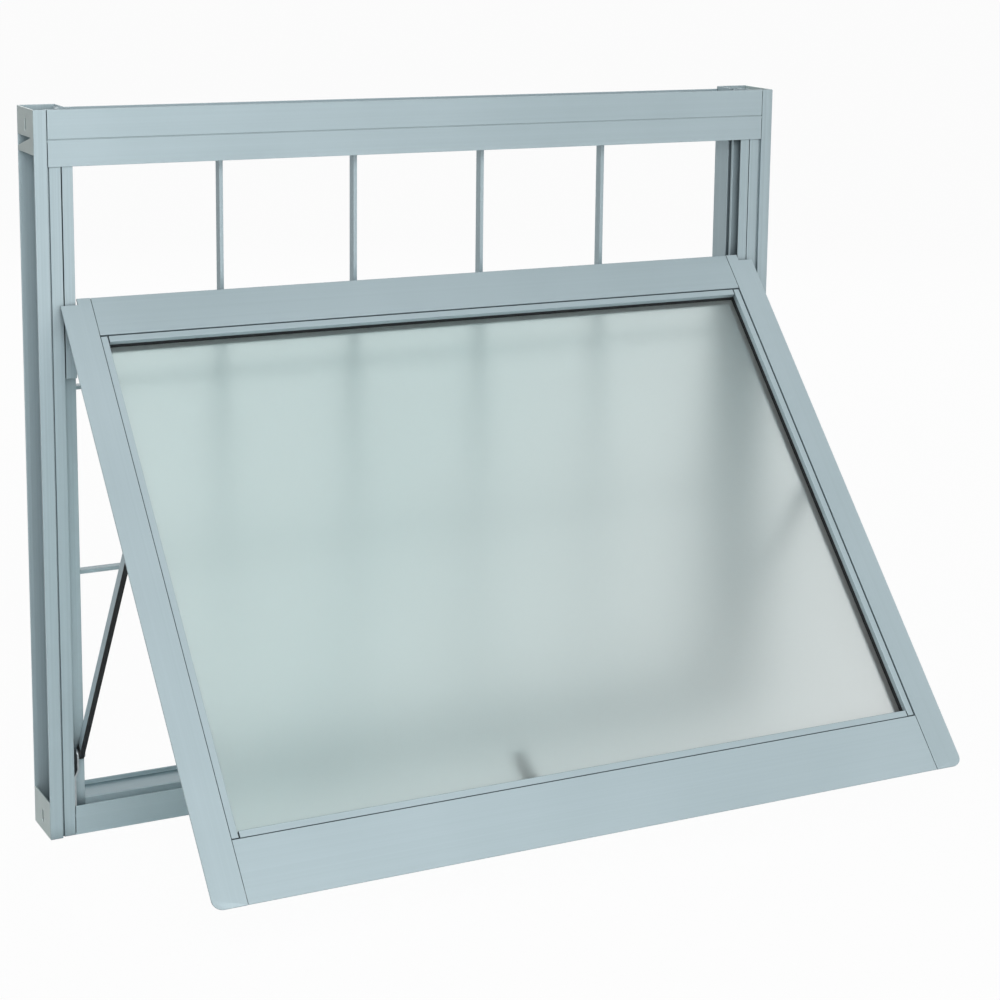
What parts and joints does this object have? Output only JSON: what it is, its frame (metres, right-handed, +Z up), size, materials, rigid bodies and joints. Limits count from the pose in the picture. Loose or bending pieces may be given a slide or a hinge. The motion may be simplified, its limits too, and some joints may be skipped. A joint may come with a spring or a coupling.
{
  "type": "top hung awning window",
  "caption": "Aluminium awning window, sash pushed outward on two stays below a head rail, frosted pane, with a bar grille behind.",
  "frame": {"origin": "centre of the sill's flat underside", "axes": "+X to the right seen from outside, +Y into the room, +Z up; the outside face looks to -Y"},
  "size_m": [0.68, 0.3947, 0.6],
  "materials": {
    "satin_aluminium": "satin anodised",
    "gasket_rubber": "matt black",
    "frosted_glass": "frosted with soft vertical streaks",
    "black_nylon": "matt black",
    "latch_black": "matt black",
    "bracket_steel": "zinc plated"
  },
  "bodies": {
    "frame": {"left_jamb": "satin_aluminium", "right_jamb": "satin_aluminium", "head": "satin_aluminium", "sill": "satin_aluminium", "left_track_cover": "satin_aluminium", "right_track_cover": "satin_aluminium", "left_upper_anchor": "satin_aluminium", "right_upper_anchor": "satin_aluminium", "left_lower_anchor": "satin_aluminium", "right_lower_anchor": "satin_aluminium", "grille_bar_1": "satin_aluminium", "grille_bar_2": "satin_aluminium", "grille_bar_3": "satin_aluminium", "grille_bar_4": "satin_aluminium", "lower_grille_rail": "satin_aluminium", "upper_grille_rail": "satin_aluminium", "left_stay_bracket": "bracket_steel", "right_stay_bracket": "bracket_steel"},
    "left_stay": {"left_stay_channel": "satin_aluminium", "left_stay_liner": "black_nylon"},
    "right_stay": {"right_stay_channel": "satin_aluminium", "right_stay_liner": "black_nylon"},
    "sash": {"left_stile": "satin_aluminium", "right_stile": "satin_aluminium", "top_rail": "satin_aluminium", "bottom_rail": "satin_aluminium", "glass_pane": "frosted_glass", "front_gasket": "gasket_rubber", "back_gasket": "gasket_rubber", "left_bead": "satin_aluminium", "right_bead": "satin_aluminium", "top_bead": "satin_aluminium", "bottom_bead": "satin_aluminium", "left_sash_bracket": "bracket_steel", "right_sash_bracket": "bracket_steel", "left_top_pin": "bracket_steel", "right_top_pin": "bracket_steel", "latch_base": "latch_black", "latch_lever": "latch_black"}
  },
  "joints": [
    {"name": "left_stay_hinge", "type": "hinge", "parent": "frame", "child": "left_stay", "pos_m": [-0.31185, -0.0165, 0.068], "axis": [1, 0, 0], "range_deg": [-33.75, 2.5]},
    {"name": "sash_hinge", "type": "hinge", "parent": "left_stay", "child": "sash", "pos_m": [-0.31185, -0.16162, 0.28517], "axis": [1, 0, 0], "range_deg": [-5.71, 76.96]},
    {"name": "right_stay_hinge", "type": "hinge", "parent": "frame", "child": "right_stay", "pos_m": [0.31185, -0.0165, 0.068], "axis": [1, 0, 0], "range_deg": [-33.75, 2.5]}
  ],
  "couplings": [
    {"joint": "sash_hinge", "follows": "left_stay_hinge", "ratio": -2.2799},
    {"joint": "right_stay_hinge", "follows": "left_stay_hinge", "ratio": 1}
  ]
}
